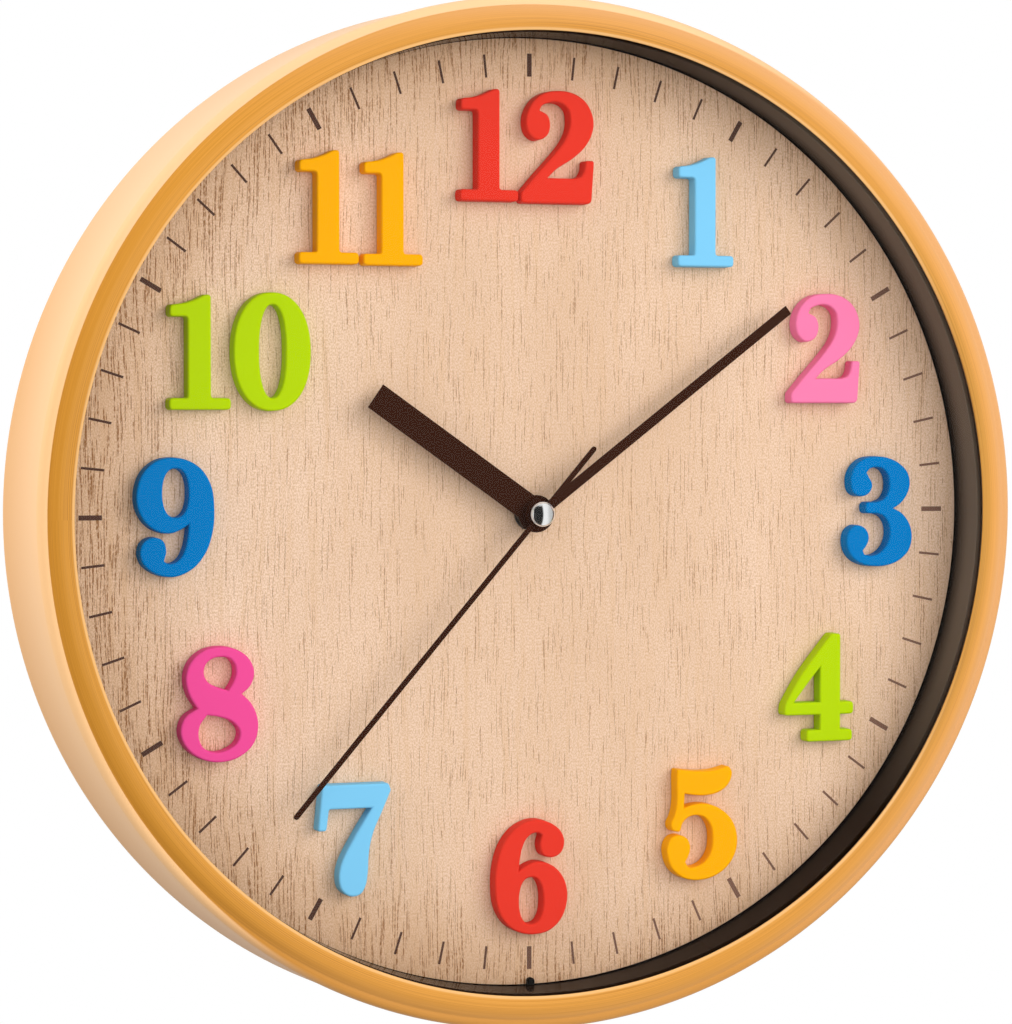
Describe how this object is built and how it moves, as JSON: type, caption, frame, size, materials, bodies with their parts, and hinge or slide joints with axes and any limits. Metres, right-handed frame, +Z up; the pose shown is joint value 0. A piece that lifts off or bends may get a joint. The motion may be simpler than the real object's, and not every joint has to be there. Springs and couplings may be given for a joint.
{
  "type": "wall clock",
  "caption": "Round wall clock with a deep wood-tone ring case, clear lens, raised coloured numerals, hands and a geared battery movement behind the dial.",
  "frame": {"origin": "the hanging point: middle of the upper end of the back cover's keyhole slot, on the wall plane that the rear rim of the case rests on", "axes": "-Y out of the dial towards the viewer, +Y into the wall, +X to the viewer's right, +Z up"},
  "size_m": [0.3052, 0.0445, 0.3052],
  "materials": {
    "case": "smooth wood-tone plastic, fine turned lines on the bezel",
    "lens": "clear and polished",
    "liner": "dark and glossy",
    "dial": "pale wood print with dark minute marks",
    "cover": "fine textured",
    "screw": "plated",
    "red": "satin",
    "sky": "satin",
    "pink": "satin",
    "blue": "satin",
    "lime": "satin",
    "amber": "satin",
    "magenta": "satin",
    "movement_case": "moulded",
    "movement_frame": "moulded",
    "gasket": "soft",
    "nut": "blackened",
    "washer": "bright",
    "wheel": "moulded",
    "rotor": "magnet",
    "knob": "grip teeth",
    "stator": "punched sheet",
    "coil": "wound copper wire",
    "board": "coated",
    "battery": "plain sleeve",
    "contact": "plated spring sheet",
    "hand": "matt enamel",
    "cap": "polished"
  },
  "bodies": {
    "clock_case": {"case_ring": "case", "front_lens": "lens", "liner_ring": "liner", "dial_plate": "dial", "back_cover": "cover", "cover_screw_1": "screw", "cover_screw_2": "screw", "cover_screw_3": "screw", "cover_screw_4": "screw", "cover_screw_5": "screw", "cover_screw_6": "screw", "numeral_12_one": "red", "numeral_12_two": "red", "numeral_6": "red", "numeral_1": "sky", "numeral_7": "sky", "numeral_2": "pink", "numeral_3": "blue", "numeral_9": "blue", "numeral_4": "lime", "numeral_10_one": "lime", "numeral_10_zero": "lime", "numeral_5": "amber", "numeral_11_left": "amber", "numeral_11_right": "amber", "numeral_8": "magenta", "movement_front_case": "movement_case", "movement_back_case": "movement_case", "movement_middle_plate": "movement_frame", "rubber_gasket": "gasket", "fixing_nut": "nut", "metal_washer": "washer", "motor_stator": "stator", "motor_coil": "coil", "circuit_board": "board", "battery": "battery", "battery_contact_positive": "contact", "battery_contact_negative": "contact"},
    "second_assembly": {"second_wheel": "wheel", "second_hand": "hand", "centre_cap": "cap"},
    "third_wheel_body": {"third_wheel": "wheel"},
    "centre_wheel_body": {"centre_wheel": "wheel"},
    "intermediate_wheel_body": {"intermediate_wheel": "wheel"},
    "rotor_body": {"motor_rotor": "rotor"},
    "minute_assembly": {"minute_tube": "wheel", "minute_hand": "hand"},
    "motion_wheel_body": {"motion_wheel": "wheel"},
    "hour_assembly": {"hour_wheel": "wheel", "hour_hand": "hand"},
    "knob_body": {"setting_knob": "knob"}
  },
  "joints": [
    {"name": "second_hand_spin", "type": "hinge", "parent": "clock_case", "child": "second_assembly", "pos_m": [0, -0.0357, -0.113], "axis": [0, 1, 0], "continuous": true},
    {"name": "intermediate_wheel_spin", "type": "hinge", "parent": "clock_case", "child": "intermediate_wheel_body", "pos_m": [0.00594, -0.0115, -0.10706], "axis": [0, 1, 0], "continuous": true},
    {"name": "rotor_spin", "type": "hinge", "parent": "clock_case", "child": "rotor_body", "pos_m": [0.00686, -0.0095, -0.10186], "axis": [0, 1, 0], "continuous": true},
    {"name": "third_wheel_spin", "type": "hinge", "parent": "clock_case", "child": "third_wheel_body", "pos_m": [-0.00751, -0.0145, -0.10901], "axis": [0, 1, 0], "continuous": true},
    {"name": "centre_wheel_spin", "type": "hinge", "parent": "clock_case", "child": "centre_wheel_body", "pos_m": [0, -0.016, -0.113], "axis": [0, 1, 0], "continuous": true},
    {"name": "minute_hand_spin", "type": "hinge", "parent": "clock_case", "child": "minute_assembly", "pos_m": [0, -0.0345, -0.113], "axis": [0, 1, 0], "continuous": true},
    {"name": "motion_wheel_spin", "type": "hinge", "parent": "clock_case", "child": "motion_wheel_body", "pos_m": [0.00927, -0.0185, -0.11549], "axis": [0, 1, 0], "continuous": true},
    {"name": "hour_hand_spin", "type": "hinge", "parent": "clock_case", "child": "hour_assembly", "pos_m": [0, -0.0319, -0.113], "axis": [0, 1, 0], "continuous": true},
    {"name": "setting_knob_spin", "type": "hinge", "parent": "clock_case", "child": "knob_body", "pos_m": [0.01797, -0.004, -0.11954], "axis": [0, 1, 0], "continuous": true}
  ],
  "couplings": [
    {"joint": "intermediate_wheel_spin", "follows": "second_hand_spin", "ratio": -6},
    {"joint": "rotor_spin", "follows": "second_hand_spin", "ratio": 30},
    {"joint": "third_wheel_spin", "follows": "second_hand_spin", "ratio": -0.13333},
    {"joint": "centre_wheel_spin", "follows": "second_hand_spin", "ratio": 0.016667},
    {"joint": "motion_wheel_spin", "follows": "minute_hand_spin", "ratio": -0.33333},
    {"joint": "hour_hand_spin", "follows": "minute_hand_spin", "ratio": 0.083333},
    {"joint": "setting_knob_spin", "follows": "minute_hand_spin", "ratio": 1}
  ]
}
